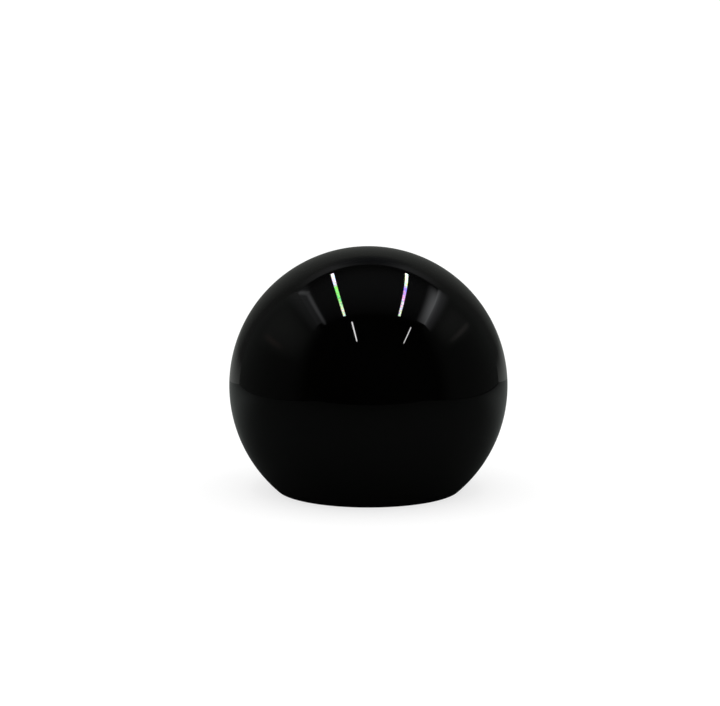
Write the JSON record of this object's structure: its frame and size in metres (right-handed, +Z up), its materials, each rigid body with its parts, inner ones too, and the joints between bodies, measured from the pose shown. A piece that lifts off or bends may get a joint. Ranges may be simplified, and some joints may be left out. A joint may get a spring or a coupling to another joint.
{
  "type": "lever knob ball",
  "caption": "Gloss black solid ball knob cut flat at its base, with a threaded bush and a screw-in adapter underneath that takes a threaded lever.",
  "frame": {"origin": "centre of the flat base, on the surface that the knob stands on", "axes": "+Z up from the flat base through the ball's centre, along the lever's axis; -Y towards the viewer"},
  "size_m": [0.0572, 0.0572, 0.05],
  "materials": {
    "phenolic": "mirror-polished cast phenolic resin, black",
    "brass": "turned and knurled",
    "black_anodised": "black anodised, fine turned lines",
    "screw_steel": "bright zinc plate",
    "nylon": "natural nylon",
    "rubber": "moulded, matt",
    "turned_aluminium": "turned, bare"
  },
  "bodies": {
    "knob": {"ball": "phenolic", "threaded_bush": "brass", "base_plate": "black_anodised", "plate_screw_1": "screw_steel", "plate_screw_2": "screw_steel", "plate_screw_3": "screw_steel", "bore_cushion": "nylon"},
    "washer": {"adapter_washer": "rubber"},
    "adapter": {"thread_adapter": "turned_aluminium"}
  },
  "joints": [
    {"name": "adapter_travel", "type": "slide", "parent": "knob", "child": "washer", "axis": [0, 0, -1], "range_m": [0, 0.012]},
    {"name": "adapter_turn", "type": "hinge", "parent": "washer", "child": "adapter", "pos_m": [0, 0, 0.0104], "axis": [0, 0, -1], "range_deg": [0, 2880]}
  ],
  "couplings": [
    {"joint": "adapter_travel", "follows": "adapter_turn", "m_per_rad": 0.00023873}
  ]
}
